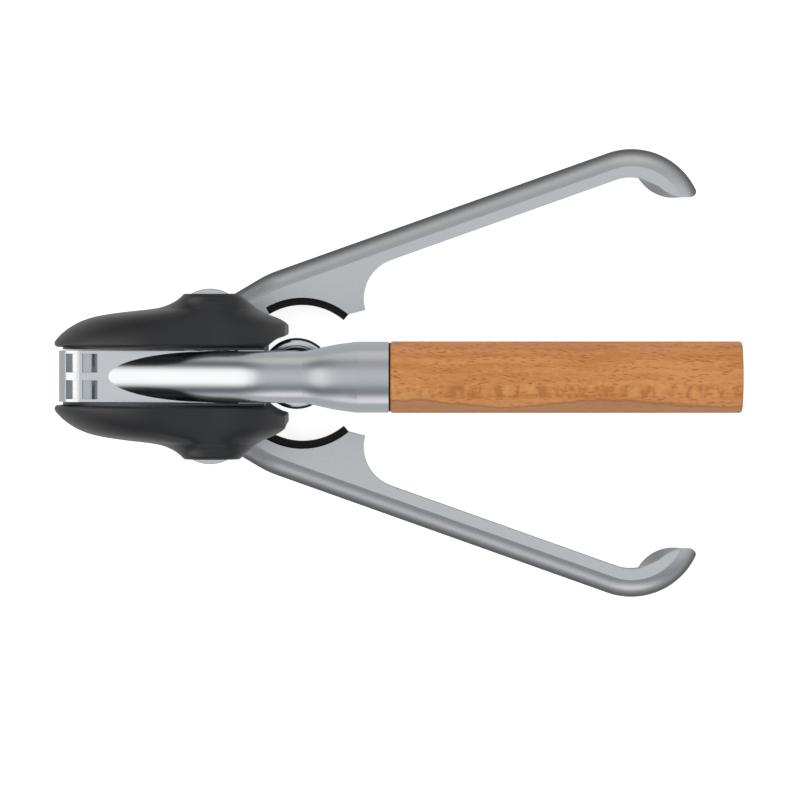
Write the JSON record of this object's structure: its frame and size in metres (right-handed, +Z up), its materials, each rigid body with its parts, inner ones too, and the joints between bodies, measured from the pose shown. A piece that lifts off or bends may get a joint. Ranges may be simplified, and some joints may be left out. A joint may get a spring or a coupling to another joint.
{
  "type": "lever corkscrew",
  "caption": "Lever corkscrew with a wooden handle on a cranked lever, two hooked gripping arms round a bottle neck, and a worm carriage between two shells.",
  "frame": {"origin": "on the bottle axis, in the plane on which the base and the gripping arms rest", "axes": "+Z up along the bottle axis, +X towards the wooden handle, +Y towards the right gripping arm"},
  "size_m": [0.2142, 0.1446, 0.1088],
  "materials": {
    "cast_metal": "satin die-cast metal",
    "steel": "brushed",
    "polished": "polished",
    "black_plastic": "satin",
    "black_rubber": "matte",
    "beech": "oiled",
    "bronze": "plain"
  },
  "bodies": {
    "frame": {"base_block": "cast_metal", "side_plate_right": "steel", "side_plate_left": "steel", "shell_right": "black_plastic", "shell_left": "black_plastic", "lever_axle": "steel", "axle_cap_right": "polished", "axle_cap_left": "polished", "tie_bar": "steel", "rod_bridge": "cast_metal", "guide_rods": "steel", "nut_carrier": "steel", "nut_ring": "polished", "nut_insert": "black_plastic", "arm_pins": "steel"},
    "lever": {"lever_casting": "cast_metal", "hub_bush": "bronze", "crank_pin": "steel", "handle_bolt": "steel", "wood_handle": "beech"},
    "rod": {"connecting_rod": "steel", "rod_bushes": "bronze"},
    "carriage": {"carriage": "cast_metal", "carriage_pin": "steel", "guide_bushes": "bronze", "worm_bearing": "bronze"},
    "worm": {"worm": "steel"},
    "right_arm": {"arm_right": "cast_metal", "jaw_pad_right": "black_rubber"},
    "left_arm": {"arm_left": "cast_metal", "jaw_pad_left": "black_rubber"}
  },
  "joints": [
    {"name": "lever_hinge", "type": "hinge", "parent": "frame", "child": "lever", "pos_m": [-0.026, 0, 0.082], "axis": [0, -1, 0], "range_deg": [0, 56]},
    {"name": "rod_hinge", "type": "hinge", "parent": "lever", "child": "rod", "pos_m": [-0.06498, 0, 0.073], "axis": [0, -1, 0], "range_deg": [-112, 0]},
    {"name": "carriage_hinge", "type": "hinge", "parent": "rod", "child": "carriage", "pos_m": [-0.026, 0, 0.064], "axis": [0, -1, 0], "range_deg": [0, 56]},
    {"name": "worm_spin", "type": "hinge", "parent": "carriage", "child": "worm", "pos_m": [0, 0, 0.076], "axis": [0, 0, 1], "range_deg": [-2125.9, 0]},
    {"name": "right_arm_hinge", "type": "hinge", "parent": "frame", "child": "right_arm", "pos_m": [-0.026, 0.0159, 0], "axis": [0, 0, -1], "range_deg": [0, 14.5]},
    {"name": "left_arm_hinge", "type": "hinge", "parent": "frame", "child": "left_arm", "pos_m": [-0.026, -0.0159, 0], "axis": [0, 0, 1], "range_deg": [0, 14.5]}
  ],
  "couplings": [
    {"joint": "rod_hinge", "follows": "lever_hinge", "ratio": -2},
    {"joint": "carriage_hinge", "follows": "lever_hinge", "ratio": 1},
    {"joint": "worm_spin", "follows": "lever_hinge", "ratio": -37.962}
  ]
}
